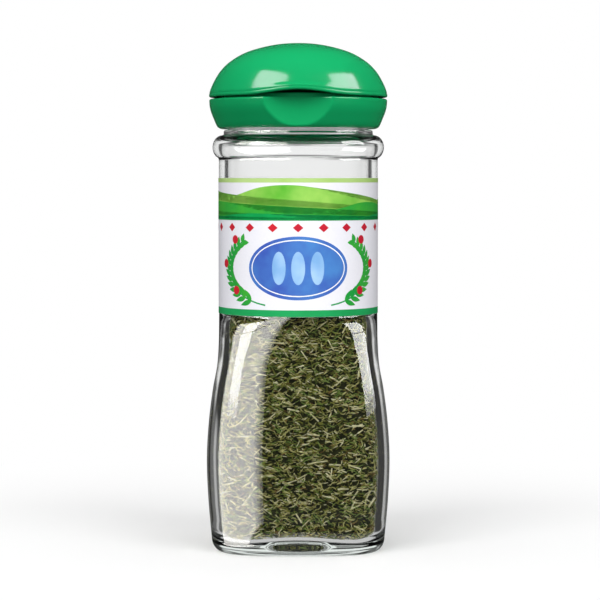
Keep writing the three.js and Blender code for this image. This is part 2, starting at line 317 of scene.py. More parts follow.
outside = [
    *spline([(0, PUNT), (3.9, 0.95 * PUNT), (5.9, 0.75 * PUNT), (7.2, 0.34 * PUNT), (8.3, 0.2 * PUNT),
             (10.5, 0.14 * PUNT), (13.0, 0.06 * PUNT), (BEARING_IN - 0.4, 0.02)], 36),
    (BEARING_IN, 0), (0.5 * (BEARING_IN + BEARING_OUT), 0),
    *arc((BEARING_OUT, HEEL[1]), HEEL, -90, 0, 12)[:-1],
    *flare_line,
    *straight((BODY_R, ROUND_Z), (BODY_R, BEAD_Z - 3.3), 10),
    (BODY_R, BEAD_Z - 3.05), (BODY_R, BEAD_Z - 2.9),
    *spline([(BODY_R, BEAD_Z - 2.85), (BODY_R + 0.08, BEAD_Z - 2.5), (BODY_R + 0.27, BEAD_Z - 2.28),
             (BODY_R + 0.49, BEAD_Z - 2.14)], 9)[1:-1],
    *arc((BEAD_R, BEAD_Z), (BEAD_OUT, BEAD_HALF), -54, 86, 28),
    (COLLAR_R + 0.05, BEAD_Z + BEAD_HALF + 0.1), (COLLAR_R, BEAD_Z + BEAD_HALF + 0.4),
    (COLLAR_R, COLLAR_TOP - 0.35), (COLLAR_R - 0.1, COLLAR_TOP - 0.1), (COLLAR_R - 0.35, COLLAR_TOP),
    (NECK_R + 0.1, COLLAR_TOP + 0.05), (NECK_R, COLLAR_TOP + 0.3), (NECK_R, SNAP_Z - 1.0),
    *arc((NECK_R, SNAP_Z), (SNAP_R - NECK_R, 0.8), -80, 80, 8),
    (NECK_R, SNAP_Z + 1.2), *arc((NECK_R - 0.5, LIP_Z - 0.5), (0.5, 0.5), 0, 90, 5),
]
INNER_R = BODY_R - WALL
# The hollow behind the bead: how far out of the wall's line, and at which height.
BEHIND_BEAD = [(0, 84), (0, 85.8), (0.03, 86.3), (0.11, 86.6), (0.3, 86.93), (0.62, 87.25), (0.86, 87.42),
               (1.03, 87.61), (1.2, 87.93), (1.32, 88.27), (1.39, 88.7), (1.38, 89.1), (1.27, 89.45),
               (0.9, 89.78), (0.2, 90.0), (-0.75, 90.25)]
floor_edge = inside_half(CORNER_TOP) - FLOOR_CORNER
inside = [
    *arc((NECK_BORE + 0.5, LIP_Z - 0.5), (0.5, 0.5), 90, 180, 5),
    (NECK_BORE, 93.2),
    *reversed(spline([(INNER_R + out, z) for out, z in BEHIND_BEAD]
                     + [(NECK_BORE + 0.6, 90.7), (NECK_BORE + 0.12, 91.5)], 102)),
    *straight((INNER_R, 84), (INNER_R, ROUND_Z), 8),
    *[(inside_half(z), z) for z in np.linspace(ROUND_Z, CORNER_TOP, 64)[1:]],
    *arc((floor_edge, floor_at(floor_edge) + FLOOR_CORNER), (FLOOR_CORNER, FLOOR_CORNER), 0, -90, 12),
    *[(share * floor_edge, floor_at(share * floor_edge)) for share in np.linspace(1, 0, 16)[1:]],
]


def hold_floor(r, z):
    """1 on the floor of the hollow, falling to 0 up its corner; 0 on the outside."""
    if z < 1.8 or z > NEAR_FLOOR or r > inside_half(max(z, 2.5)) + 0.4:
        return 0
    return 1 - ease(z - floor_at(r), 0, 2 * FLOOR_CORNER)


glass_mesh = spun(outside + inside, GLASS_STEPS)
square_off(glass_mesh, hold_floor)

# %% Soda-lime glass
GREEN_DEPTH = 11  # how strongly a metre of this glass takes light away
STIPPLE = 0.45  # roughness of the stippled ring in the dish under the base
STIPPLE_IN, STIPPLE_OUT, STIPPLE_SOFT = 8.0, 15.2, 0.6  # its radii and the width it fades over
STIPPLE_TOP, TOP_SOFT = 3.3, 0.2  # only the underside lies below this height


def soda_lime_glass():
    """Blown soda-lime glass: clear, faintly green where it is thick, with a soft ripple from the mould."""
    material, tree = new_material("blown soda-lime glass")
    place = add(tree, "TexCoord").outputs["Object"]
    ripple = add(tree, "TexNoise", Vector=place, Detail=1.0, Scale=cycles_per_metre(9))
    bump = add(tree, "Bump", Height=ripple, Distance=0.05 * MM, Strength=0.35)
    x, y, z = add(tree, "SeparateXYZ", Vector=place).outputs
    flat = add(tree, "CombineXYZ", X=x, Y=y)
    out = add(tree, "VectorMath", {"operation": "LENGTH"}, _0=flat)
    under = add(tree, "MapRange", Value=z, From_Min=STIPPLE_TOP * MM,
                From_Max=(STIPPLE_TOP - TOP_SOFT) * MM)
    within = add(tree, "MapRange", Value=out.outputs["Value"], To_Max=STIPPLE, From_Min=STIPPLE_OUT * MM,
                 From_Max=(STIPPLE_OUT - STIPPLE_SOFT) * MM)
    around = add(tree, "MapRange", Value=out.outputs["Value"], From_Min=STIPPLE_IN * MM,
                 From_Max=(STIPPLE_IN + STIPPLE_SOFT) * MM)
    ring = add(tree, "Math", {"operation": "MULTIPLY"}, _0=within, _1=around)
    stipple = add(tree, "Math", {"operation": "MULTIPLY"}, _0=under, _1=ring)
    glass = add(tree, "BsdfPrincipled", Base_Color=(1, 1, 1, 1), IOR=1.5, Roughness=stipple,
                Transmission_Weight=1.0, Normal=bump)
    clear = add(tree, "BsdfTransparent", Color=(0.9, 0.92, 0.91, 1))
    path = add(tree, "LightPath")
    mixed = add(tree, "MixShader", Fac=path.outputs["Is Shadow Ray"], _1=glass, _2=clear)
    tint = add(tree, "VolumeAbsorption", Color=linear("#b9d2c4"), Density=GREEN_DEPTH)
    output(tree, Surface=mixed, Volume=tint)
    return material


glass_jar = piece(glass_mesh, "jar_glass", soda_lime_glass(), "jar")
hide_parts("glass_jar")

# %% [markdown]
# ## The dried dill
# Dill weed is cut while it is green and then dried, which leaves thin curled threads of leaf, mostly one
# to three millimetres long, with a few pale bits of stalk. Against the glass they lie flat, in every
# direction, over a heap whose near-black colour is painted shade. A simulation could pour them in, but
# only the outer layer is ever seen. So a handful of cut shapes is modelled with a few faces each, and
# thousands of copies are laid along the wall by a seeded draw, in as many colours as a real pinch has.
# The darkest cuts lie deeper, and their colour is partly the leaf's own dark green and partly painted shade.

# %% Shapes of cut leaf
def cut_shape(length, thick, wide, sides, rings, bend, taper, twist=0.0):
    """A slender cut piece along X: a ring drawn out by extrusion, bent and tapered, closed at the ends."""
    bm = bmesh.new()
    ring = bmesh.ops.create_circle(bm, segments=sides, radius=0.5, cap_ends=True)["verts"]
    bmesh.ops.rotate(bm, verts=ring, cent=(0, 0, 0), matrix=Matrix.Rotation(math.pi / 2, 3, "Y"))
    face = bm.faces[:][0]
    for _ in range(rings):
        grown = bmesh.ops.extrude_face_region(bm, geom=[face])["geom"]
        face = next(g for g in grown if isinstance(g, bmesh.types.BMFace))
        bmesh.ops.translate(bm, verts=face.verts, vec=(1 / rings, 0, 0))
    crosswise = [f for f in bm.faces if abs(f.normal.x) > 0.9]
    bmesh.ops.delete(bm, geom=[f for f in crosswise if 0.01 < f.calc_center_median().x < 0.99],
                     context="FACES_ONLY")
    bmesh.ops.recalc_face_normals(bm, faces=bm.faces)
    for v in bm.verts:
        along = v.co.x - 0.5
        slim = 1 - taper * abs(2 * along) ** 2
        turn = Matrix.Rotation(twist * along, 2)
        side = turn @ Vector((v.co.y * wide * slim, v.co.z * thick * slim))
        v.co = Vector((along * length, side.x + bend * (1 - (2 * along) ** 2), side.y))
    bmesh.ops.triangulate(bm, faces=bm.faces)
    verts = np.array([v.co for v in bm.verts])
    faces = np.array([[v.index for v in f.verts] for f in bm.faces])
    bm.free()
    return verts, faces


def forked(shape, branch, at, angle):
    """Joins a smaller copy of a cut shape to another, as where a leaflet forks."""
    turn = Matrix.Rotation(angle, 3, "Z")
    moved = branch[0] @ np.array(turn).T + np.array((at, 0, 0))
    return np.vstack((shape[0], moved)), np.vstack((shape[1], branch[1] + len(shape[0])))


thread = cut_shape(2.0, 0.2, 0.32, 3, 2, 0.16, 0.5)
curl = cut_shape(1.7, 0.2, 0.3, 3, 3, 0.38, 0.45, 1.0)
chip = cut_shape(1.0, 0.2, 0.46, 3, 2, 0.05, 0.35)
twig = forked(cut_shape(2.4, 0.22, 0.32, 3, 2, 0.2, 0.5),
              cut_shape(1.3, 0.2, 0.26, 3, 1, 0.0, 0.6), 0.5, 0.7)
stalk = cut_shape(2.6, 0.32, 0.38, 4, 1, 0.0, 0.06)
print("faces of the cut shapes:", [len(s[1]) for s in (thread, curl, chip, twig, stalk)])

# %% Laying the cuts along the wall
HEAP_TOP, HEAP_MOUND = 70.0, 1.6
rng = np.random.default_rng(5207)


def unit(v):
    return v / np.linalg.norm(v)


def wall_frame(angle, z, depth):
    """A point this deep inside the glass, with the directions along, up and out of the wall there."""
    def at(a, h):
        r = (inside_half(h) - depth) * reach(a, plan_power(h))
        return np.array((r * math.cos(a), r * math.sin(a), h))
    point = at(angle, z)
    along = unit(at(angle + 0.01, z) - at(angle - 0.01, z))
    up = at(angle, z + 0.2) - at(angle, z - 0.2)
    up = unit(up - along * (up @ along))
    return point, along, up, np.cross(along, up)


def heap_top(r):
    return HEAP_TOP + HEAP_MOUND * (1 - (r / inside_half(HEAP_TOP)) ** 2)


def laid_on_wall(count, nearest, deepest):
    """Places for cuts against the wall: (point, three directions of the cut's own axes)."""
    places = []
    for _ in range(count):
        angle = rng.uniform(0, 2 * math.pi)
        low = floor_at(inside_half(FLOOR_Z) * reach(angle, FOOT_POWER)) + 0.6
        z = rng.uniform(low, HEAP_TOP + 0.6)
        depth = nearest + (deepest - nearest) * rng.random() ** 1.3
        point, along, up, out = wall_frame(angle, z, depth)
        slant = rng.normal(0, 0.6)
        tilt = rng.normal(0, 0.12 + 0.1 * depth)
        heading = math.cos(slant) * along + math.sin(slant) * up
        heading = unit(heading * math.cos(tilt) + out * math.sin(tilt) * 0.6)
        roll = 0.15 * rng.uniform(0, 2 * math.pi)
        c, s = math.cos(roll), math.sin(roll)
        side = unit(np.cross(out, heading))
        lift = np.cross(heading, side)
        flip = 1 if rng.random() < 0.5 else -1
        places.append((point, heading, side * c * flip + lift * s, lift * c * flip - side * s))
    return places


def laid_flat(count, radius, height_at, loose, power=2.0):
    """Places for cuts on the heap's top or under it, lying nearly level."""
    places = []
    for _ in range(count):
        r = radius * math.sqrt(rng.random())
        angle = rng.uniform(0, 2 * math.pi)
        r *= reach(angle, power)
        turn = rng.uniform(0, 2 * math.pi)
        tilt = rng.normal(0, loose)
        heading = np.array((math.cos(turn) * math.cos(tilt), math.sin(turn) * math.cos(tilt),
                            math.sin(tilt)))
        side = unit(np.cross((0, 0, 1), heading))
        point = np.array((r * math.cos(angle), r * math.sin(angle), height_at(r)))
        places.append((point, heading, side, np.cross(heading, side)))
    return places


def held_by_glass(points):
    """Presses the points of cuts that would enter the glass flat against it, as the poured heap does."""
    gap = 0.08
    x, y, z = points.T
    r, angle = np.hypot(x, y) + 1e-9, np.arctan2(y, x)
    power = np.maximum(np.interp(z, power_z, powers), 2)
    share = (np.abs(np.cos(angle)) ** power + np.abs(np.sin(angle)) ** power) ** (-1 / power)
    half = np.minimum(r / share, np.interp(z, flare_z, flare_half) - WALL - gap)
    low = floor_at(half * share) + gap
    z = np.maximum(z, low)
    across = half - floor_edge
    below = floor_at(floor_edge * share) + FLOOR_CORNER - z
    far = np.hypot(across, below) / (FLOOR_CORNER - gap)
    in_corner = (across > 0) & (below > 0) & (far > 1)
    half = np.where(in_corner, floor_edge + across / far, half)
    z = np.where(in_corner, z + below - below / far, z)
    return np.stack((half * share * np.cos(angle), half * share * np.sin(angle), z), 1)


def scatter(name, shapes, places, material):
    """Copies the cut shapes to their places as one mesh, each a little larger or smaller."""
    all_verts, all_faces, start = [], [], 0
    for i, (point, heading, side, lift) in enumerate(places):
        verts, faces = shapes[i % len(shapes)]
        size = rng.uniform(0.5, 1.05)
        turn = np.array((heading, side, lift))
        all_verts.append((verts * size) @ turn + point)
        all_faces.append(faces + start)
        start += len(verts)
    mesh = bpy.data.meshes.new(name)
    held = held_by_glass(np.vstack(all_verts))
    mesh.from_pydata((held * MM).tolist(), [], np.vstack(all_faces).tolist())
    made = dressed(mesh, name, material, "jar")
    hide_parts("dill_fill")
    return made


# %% Dry leaf
def dry_leaf(name, dark, light):
    """Dried dill leaf: matt, with a colour that drifts from cut to cut, as each dried its own way."""
    material, tree = new_material(name)
    place, _, colour = clouded(tree, dark, light, 1.6, 2.0, 0.35, 0.65)
    grain = add(tree, "TexNoise", Vector=place, Scale=cycles_per_metre(0.25))
    bump = add(tree, "Bump", Height=grain, Distance=0.05 * MM, Strength=0.6)
    leaf = add(tree, "BsdfPrincipled", Base_Color=colour, Roughness=0.75, Specular_IOR_Level=0.3,
               Normal=bump)
    output(tree, Surface=leaf)
    return material


# %% The heap and its cuts
CORE_DEPTH, CORE_LIFT, CORE_CORNER = 1.1, 1.3, 1.6  # in from the wall, up from the floor, corner
core_top = inside_half(HEAP_TOP) - CORE_DEPTH
core_edge = inside_half(CORNER_TOP) - FLOOR_CORNER - 0.4
core_outline = [
    *[(s * core_edge, floor_at(s * core_edge) + CORE_LIFT) for s in np.linspace(0, 1, 12)],
    *arc((core_edge, floor_at(core_edge) + CORE_LIFT + CORE_CORNER),
         (FLOOR_CORNER - CORE_DEPTH + 0.5, CORE_CORNER), -70, 0, 4),
    *[(inside_half(z) - CORE_DEPTH, z) for z in np.linspace(FLOOR_Z + CORE_CORNER, HEAP_TOP - 1.2, 60)],
    *[(s * core_top, heap_top(s * core_top) - CORE_DEPTH) for s in np.linspace(0.97, 0, 14)],
]
core_mesh = spun(core_outline, 120)
square_off(core_mesh, lambda r, z: 1 - ease(z - floor_at(r) - CORE_LIFT, 0, 5) if z < NEAR_FLOOR else 0)
LUMPS = 0.16
lumps = rng.normal(0, LUMPS, (len(core_mesh.verts), 3))
for v, lump in zip(core_mesh.verts, lumps):
    v.co += Vector(lump) * MM
# The heap's near-black colour is painted shade: it stands for the shade deep among the packed leaves.
heap = piece(core_mesh, "dill_heap", dry_leaf("packed dill, painted shade", "#14160b", "#33351c"),
             "jar", smooth=False)
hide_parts("dill_fill")

WALL_CUTS = 34000
TOP_CUTS, UNDER_CUTS, UNDER_R = 1200, 2200, 16.6
# For each colour: share of the cuts, darker and lighter tone, and the shapes that take turns.
COLOURS = {
    # The dark cuts' colour is partly the leaf's own dark green and partly painted shade of the gaps between
    # cuts.
    "dill_dark": (0.22, "#24280f", "#42461c", [thread, curl, twig]),
    "dill_olive": (0.27, "#6c7030", "#989648", [thread, chip, curl, chip]),
    "dill_green": (0.15, "#66803a", "#98ac5c", [thread, curl]),
    "dill_khaki": (0.20, "#b0ab66", "#dcd494", [thread, chip, curl]),
    "dill_brown": (0.06, "#68532e", "#967a48", [chip, thread]),
    "dill_straw": (0.10, "#dad29e", "#f4eec8", [thread, chip, stalk]),
}
dill_pieces = [heap]
for name, (share, dark, light, shapes) in COLOURS.items():
    # The dark cuts lie deeper, where their painted shade stands for the shade further in.
    near, deep = (0.18, 0.85) if name != "dill_dark" else (0.35, 1.2)
    places = laid_on_wall(int(WALL_CUTS * share), near, deep)
    places += laid_flat(int(TOP_CUTS * share), inside_half(HEAP_TOP) - 1.6,
                        lambda r: heap_top(r) - 0.4, 0.3)
    places += laid_flat(int(UNDER_CUTS * share), UNDER_R, lambda r: floor_at(r) + 0.5, 0.03, FOOT_POWER)
    dill_pieces.append(scatter(name, shapes, places, dry_leaf("dried dill, " + name[5:], dark, light)))

# %% [markdown]
# ## The label
# A coated paper band goes once round the jar and meets itself at the back. Its print could be an image,
# but that would need a picture file and go soft close up. So each ink is the thinnest of films, cut
# flat with the outlines of the design and then wrapped round the jar with the paper.

# %% Paper band
LABEL_R = BODY_R + 0.03
PAPER = 0.07
PAPER_OUT = LABEL_R + PAPER
SEAM_HALF = 0.2 / LABEL_R  # half the gap between the label's ends, in radians


def wrap(bm, radius, thickness):
    """Bends a flat sheet, drawn in the XZ plane with X along the label, round the jar."""
    for v in bm.verts:
        along, layer, z = v.co / MM
        angle = along / LABEL_R
        r = radius + (thickness if layer > 0.5 else 0)
        v.co = Vector((r * math.sin(angle), -r * math.cos(angle), z)) * MM


half_wrap = (math.pi - SEAM_HALF) * LABEL_R
band = bmesh.new()
bmesh.ops.create_cube(band, size=1)
bmesh.ops.scale(band, vec=(2 * half_wrap * MM, 1 * MM, (label_high.z - label_low.z) * MM), verts=band.verts)
bmesh.ops.translate(band, vec=(0, 0.5 * MM, (label_high.z + label_low.z) / 2 * MM), verts=band.verts)


def slice_along(bm, spacing, low=-half_wrap, high=half_wrap):
    """Cuts a flat sheet across at even steps, so that it can bend."""
    along = Vector((1, 0, 0))
    for position in np.arange(low + spacing, high, spacing):
        bmesh.ops.bisect_plane(bm, geom=bm.verts[:] + bm.edges[:] + bm.faces[:], dist=1e-7,
                               plane_co=along * position * MM, plane_no=along)


slice_along(band, 0.6)
wrap(band, LABEL_R, PAPER)


def coated_paper():
    """Coated label paper: a smooth white face with the faint tooth of the fibres under its coating."""
    material, tree = new_material("coated label paper")
    _, fibres, tone = clouded(tree, "#e8e8f0", "#f0eff5", 0.5, 4.0)
    bump = add(tree, "Bump", Height=fibres, Distance=0.01 * MM, Strength=0.5)
    paper = add(tree, "BsdfPrincipled", Base_Color=tone, Roughness=0.5, Specular_IOR_Level=0.35,
                Normal=bump)
    output(tree, Surface=paper)
    return material


label = piece(band, "label_paper", coated_paper(), "jar", smooth=False)
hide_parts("label")

# %% Printing inks
INK = 0.01  # thickness drawn for one layer of ink, so that it clears the one under it


def printing_ink(name, dark, light, feature):
    """Offset ink on coated paper: a little unevenness in tone, and the paper's own gloss."""
    material, tree = new_material(name)
    _, _, tone = clouded(tree, dark, light, feature, 3.0, 0.32, 0.68)
    ink = add(tree, "BsdfPrincipled", Base_Color=tone, Roughness=0.45, Specular_IOR_Level=0.35)
    output(tree, Surface=ink)
    return material


def print_layer(name, outlines, layer, material):
    """One ink film: flat shapes filled from their outlines, given a thickness and wrapped."""
    bm = bmesh.new()
    for outline in outlines:
        bm.faces.new([bm.verts.new((x * MM, 0, z * MM)) for x, z in outline])
    bmesh.ops.triangulate(bm, faces=bm.faces)
    lows = [min(x for x, _ in o) for o in outlines]
    highs = [max(x for x, _ in o) for o in outlines]
    slice_along(bm, 0.9, low=min(lows), high=max(highs))
    lifted = bmesh.ops.extrude_face_region(bm, geom=bm.faces[:])["geom"]
    bmesh.ops.translate(bm, vec=(0, 1 * MM, 0), verts=verts_in(lifted))
    bmesh.ops.recalc_face_normals(bm, faces=bm.faces)
    wrap(bm, PAPER_OUT + layer * INK, INK * 0.9)
    return piece(bm, name, material, "jar", smooth=False)


# %% [markdown]
# ## The printed design
# The design is a plain one: rolling fields along the top, a row of lozenges, an oval between two laurel
# branches with berries, and a line at the foot. Shapes are drawn on the flat label, in millimetres: x
# runs along the label from the middle of its front, and z is the height on the jar.

# %% Outlines of the design
EDGE = 0.03  # bare paper left along the label's edges
bottom, top = label_low.z + EDGE, label_high.z - EDGE
round_half = half_wrap - 0.05
FIELD_FOOT = 72.9  # where the printed fields start


def strip(low, high):
    """A band right round the label."""
    return [(-round_half, low), (round_half, low), (round_half, high), (-round_half, high)]


def oval(x, z, half_wide, half_tall, points=64):
    return [(x + half_wide * math.cos(a), z + half_tall * math.sin(a))
            for a in np.linspace(0, 2 * math.pi, points + 1)[:-1]]


def leaf(x, z, length, width, angle):
    """A simple pointed leaf that grows from (x, z)."""
    c, s = math.cos(angle), math.sin(angle)
    side = [(t, width / 2 * math.sin(math.pi * t**0.8)) for t in np.linspace(0, 1, 9)]
    outline = [(t * length, w) for t, w in side] + [(t * length, -w) for t, w in side[-2:0:-1]]
    return [(x + u * c - w * s, z + u * s + w * c) for u, w in outline]


def hills(heights):
    """A field right round the label, with a rolling top edge that meets itself at the back."""
    xs = np.linspace(-round_half, round_half, len(heights))
    edge = spline(list(zip(xs, heights)), 90)
    return [(-round_half, FIELD_FOOT), (round_half, FIELD_FOOT), *reversed(edge)]


def drawn_line(points, width):
    """A line of even width along the points, as a row of short four-sided steps."""
    p = np.array(points, float)
    d = np.gradient(p, axis=0)
    d /= np.linalg.norm(d, axis=1)[:, None]
    n = np.stack((-d[:, 1], d[:, 0]), 1) * width / 2
    left, right = p + n, p - n
    return [[tuple(q) for q in (left[i], left[i + 1], right[i + 1], right[i])] for i in range(len(p) - 1)]


def branch(side):
    """A laurel branch that curves up beside the oval: its stem, and pairs of leaves along it."""
    stem = [(side * (4.0 + 13.4 * math.sin(a)), 62.4 - 8.1 * math.cos(a))
            for a in np.linspace(0.25, 2.35, 16)]
    leaves = []
    for i in range(2, 16):
        (x, z), (x0, z0) = stem[i], stem[i - 1]
        along = math.atan2(z - z0, x - x0)
        for turn in (0.62, -0.62):
            leaves.append(leaf(x, z, 3.3 - 0.08 * i, 1.15, along + turn))
    return stem, leaves


# %% Print
# For each ink: darker and lighter tone, and the size of its clouds in millimetres.
TONES = {
    "pale green": ("#a5cb6e", "#bcd98c", 9),
    "leaf green": ("#5cb531", "#9fd45f", 8),
    "grass green": ("#189c3d", "#3fae35", 6),
    "deep green": ("#04964a", "#0aa552", 5),
    "band green": ("#179a52", "#1fa65c", 9),
    "blue": ("#3d5cb6", "#4a86cc", 7),
    "sky blue": ("#7fb0e2", "#a8cdf0", 6),
    "white": ("#f2f3f7", "#fafafc", 4),
    "red": ("#bf1630", "#d0202f", 4),
}
INKS = {tone: printing_ink(tone + " ink", *values) for tone, values in TONES.items()}
stem_left, leaves_left = branch(-1)
stem_right, leaves_right = branch(1)
OVAL = (0.0, 62.6)
# For each print: piece, ink, layer and outlines.
prints = [
    ("print_top_line", "pale green", 1, [strip(top - 0.95, top)]),
    ("print_band", "band green", 1, [strip(bottom, bottom + 1.45)]),
    ("print_far_field", "leaf green", 1, [hills([78.0, 79.5, 80.3, 79.0, 77.2, 78.2, 80.2, 80.5, 79.0,
                                                 77.4, 77.2, 78.6, 79.8, 79.2, 78.0])]),
    ("print_mid_field", "grass green", 2, [hills([75.6, 74.6, 74.4, 76.0, 77.0, 76.4, 75.0, 74.4, 75.2,
                                                  76.8, 76.4, 75.0, 74.4, 75.4, 75.6])]),
    ("print_near_field", "deep green", 3, [hills([73.3, 74.0, 73.9, 73.3, 73.4, 74.2, 74.4, 73.6, 73.2,
                                                  73.5, 74.2, 74.0, 73.4, 73.2, 73.3])]),
    ("print_oval", "blue", 1, [oval(*OVAL, 11.4, 6.9)]),
    ("print_oval_ring", "white", 2, [oval(*OVAL, 10.7, 6.2)]),
    ("print_oval_field", "blue", 3, [oval(*OVAL, 10.45, 5.95)]),
    ("print_oval_moon", "sky blue", 4, [oval(x, OVAL[1], 1.5, 3.6, 32) for x in (-4.2, 0.0, 4.2)]),
    ("print_stems", "deep green", 1, drawn_line(stem_left, 0.32) + drawn_line(stem_right, 0.32)),
    ("print_leaves", "grass green", 2, leaves_left + leaves_right),
    ("print_berries", "red", 3, [oval(side * x, z, 0.95, 0.95, 20) for side in (-1, 1)
                                 for x, z in ((15.2, 57.6), (19.3, 63.4), (15.6, 68.7))]),
    ("print_lozenges", "red", 1, [oval(5.6 * i, 71.35, 1.15, 0.95, 4) for i in range(-9, 10)]),
]
label_pieces = [label]
for name, ink, layer, outlines in prints:
    label_pieces.append(print_layer(name, outlines, layer, INKS[ink]))

# %% [markdown]
# ## The cap base
# The cap is moulded in polypropylene: a green, slightly milky plastic with a polished tool finish. Its
# lower part is a round shell that grips the neck, with a thumb scoop pressed into the front. A Boolean
# could cut the scoop, but its edge would be sharp and its faces uneven. So the shell is spun, with its
# steps drawn towards the scoop, and then its wall is taken in wherever the scoop or the hinge's flat
# lies further in. A soft minimum leaves the small round edge that a mould has there.

# %% Cap base
CAP_R = base_high.x
CAP_LOW, CAP_BORE, DECK_LOW, DECK_R = base_low.z, 16.5, 99.0, 17.0
SPOUT_R, SPOUT_WALL, SPOUT_Z = 8.2, 1.0, 101.5
SNAP_RING_R = 15.95
SCOOP_MIDDLE = (0, -21.9, 99.8)
SCOOP_HALF = (11, 4.8, 11.6)
SCOOP_EDGE, FLAT_EDGE = 0.3, 0.25  # width of the round along the scoop, and along the hinge's flat
SIFTER_HOLD = 7.15  # the deck's middle is open to this radius, for the sifter
CAP_STEPS = 360

shell = spline([(17.45, CAP_LOW + 0.08), (17.95, 93.4), (18.4, 94.2), (18.85, 95.3), (19.4, 96.7),
                (19.7, 97.9), (CAP_R, LEDGE_Z - 0.5)], 48)
base_outline = [
    (SIFTER_HOLD, DECK_LOW), (CAP_BORE, DECK_LOW), (CAP_BORE, 95.0), (SNAP_RING_R, 94.6), (SNAP_RING_R, 94.2),
    (CAP_BORE, 93.7), (CAP_BORE, CAP_LOW + 0.1), (CAP_BORE + 0.1, CAP_LOW), (17.2, CAP_LOW), *shell,
    *arc((CAP_R - 0.42, LEDGE_Z - 0.42), (0.42, 0.42), 12, 90, 8),
    *straight((CAP_R - 0.42, LEDGE_Z), (DECK_R + 0.15, LEDGE_Z), 8), (DECK_R, LEDGE_Z + 0.15),
    *arc((DECK_R - 0.3, DECK_Z - 0.3), (0.3, 0.3), 0, 90, 4), (SPOUT_R + 0.25, DECK_Z),
    (SPOUT_R, DECK_Z + 0.25), *arc((SPOUT_R - 0.2, SPOUT_Z - 0.2), (0.2, 0.2), 0, 90, 4),
    *arc((SPOUT_R - SPOUT_WALL + 0.2, SPOUT_Z - 0.2), (0.2, 0.2), 90, 180, 4),
    (SPOUT_R - SPOUT_WALL, DECK_Z - 0.02), (SIFTER_HOLD, DECK_Z - 0.05),
]
shell_heights = [z for _, z in shell] + [LEDGE_Z]
shell_radii = [r for r, _ in shell] + [CAP_R]


def soft_min(a, b, width):
    """The lesser of two values, with a round of this width where they cross."""
    h = max(width - abs(a - b), 0) / width
    return min(a, b) - h * h * width / 4


BEYOND = 99  # further out than the cap: nothing in the way


def to_scoop(angle, z):
    """How far out the thumb scoop's surface, part of an ellipsoid, lies in a direction."""
    c, s = math.cos(angle), math.sin(angle)
    (_, my, mz), (hx, hy, hz) = SCOOP_MIDDLE, SCOOP_HALF
    a = (c / hx) ** 2 + (s / hy) ** 2
    b = -2 * my * s / hy**2
    rest = b * b - 4 * a * ((my / hy) ** 2 + ((z - mz) / hz) ** 2 - 1)
    return (-b - math.sqrt(rest)) / (2 * a) if rest > 0 and s < 0 else BEYOND


def to_flat(angle):
    """How far out the hinge's flat lies in a direction."""
    return HINGE_Y / math.sin(angle) if math.sin(angle) > 0.5 else BEYOND


def draw_to_front(bm, share):
    """Draws the spin's steps towards the front."""
    for v in bm.verts:
        turn = math.atan2(v.co.x, -v.co.y)
        r = math.hypot(v.co.x, v.co.y)
        turn -= share * math.sin(turn)
        v.co.x, v.co.y = r * math.sin(turn), -r * math.cos(turn)


base_mesh = spun(base_outline, CAP_STEPS, closed=True)
draw_to_front(base_mesh, 0.55)
for v in base_mesh.verts:
    x, y, z = v.co / MM
    r = math.hypot(x, y)
    root = DECK_R if z > LEDGE_Z - 0.01 else CAP_BORE + 0.12
    if r <= root:
        continue
    full = float(np.interp(z, shell_heights, shell_radii))
    angle = math.atan2(y, x)
    limit = soft_min(soft_min(full, to_scoop(angle, z), SCOOP_EDGE), to_flat(angle), FLAT_EDGE)
    limit = max(limit, root + 0.06)
    r_new = root + (r - root) * (limit - root) / (full - root)
    v.co.x, v.co.y = x * r_new / r * MM, y * r_new / r * MM


# %% Green polypropylene
def moulded_polypropylene(name, colour, deep):
    """Moulded polypropylene: glossy from a polished tool, with a faint drift in tone from the flow."""
    material, tree = new_material(name)
    place, _, tone = clouded(tree, deep, colour, 14, 2.0)
    grain = add(tree, "TexNoise", Vector=place, Detail=3.0, Scale=cycles_per_metre(0.6))
    bump = add(tree, "Bump", Height=grain, Distance=0.006 * MM, Strength=0.5)
    plastic = add(tree, "BsdfPrincipled", Base_Color=tone, Roughness=0.14, IOR=1.49,
                  Normal=bump)
    output(tree, Surface=plastic)
    return material


cap_green = moulded_polypropylene("moulded green polypropylene", "#13a664", "#0c9e5c")
cap_shell = piece(base_mesh, "cap_shell", cap_green, "jar")
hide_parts("cap_base")

# %% [markdown]
# ## The sifter
# The middle of the deck is a plate with seven holes that lets the dill out in a pinch. Holes could be
# bored with a Boolean each. Here the outline and the holes are circles from the start, filled flat
# between them, given the deck's thickness and rounded at the rims.

# %% Sifter plate
HOLE_R, HOLE_RING, SIFTER_R = 2.1, 4.9, 7.2
sifter = bmesh.new()
bmesh.ops.create_circle(sifter, segments=96, radius=SIFTER_R * MM)
for i in range(7):
    turn = i * math.pi / 3
    out = HOLE_RING if i < 6 else 0
    middle = Matrix.Translation((out * math.cos(turn) * MM, out * math.sin(turn) * MM, 0))
    bmesh.ops.create_circle(sifter, segments=40, radius=HOLE_R * MM, matrix=middle)
bmesh.ops.translate(sifter, verts=sifter.verts, vec=(0, 0, DECK_Z * MM))
bmesh.ops.triangle_fill(sifter, edges=sifter.edges, use_beauty=True)
under = bmesh.ops.extrude_face_region(sifter, geom=sifter.faces[:])["geom"]
bmesh.ops.translate(sifter, verts=verts_in(under), vec=(0, 0, (DECK_LOW - DECK_Z) * MM))
bmesh.ops.recalc_face_normals(sifter, faces=sifter.faces)


def on_hole_rim(edge):
    """Whether an edge is where a hole meets the plate's upper face."""
    first, second = (face.normal.z for face in edge.link_faces)
    return abs(first - second) > 0.5 and all(
        v.co.xy.length < (SIFTER_R - 0.1) * MM and v.co.z > (DECK_Z - 0.01) * MM for v in edge.verts)


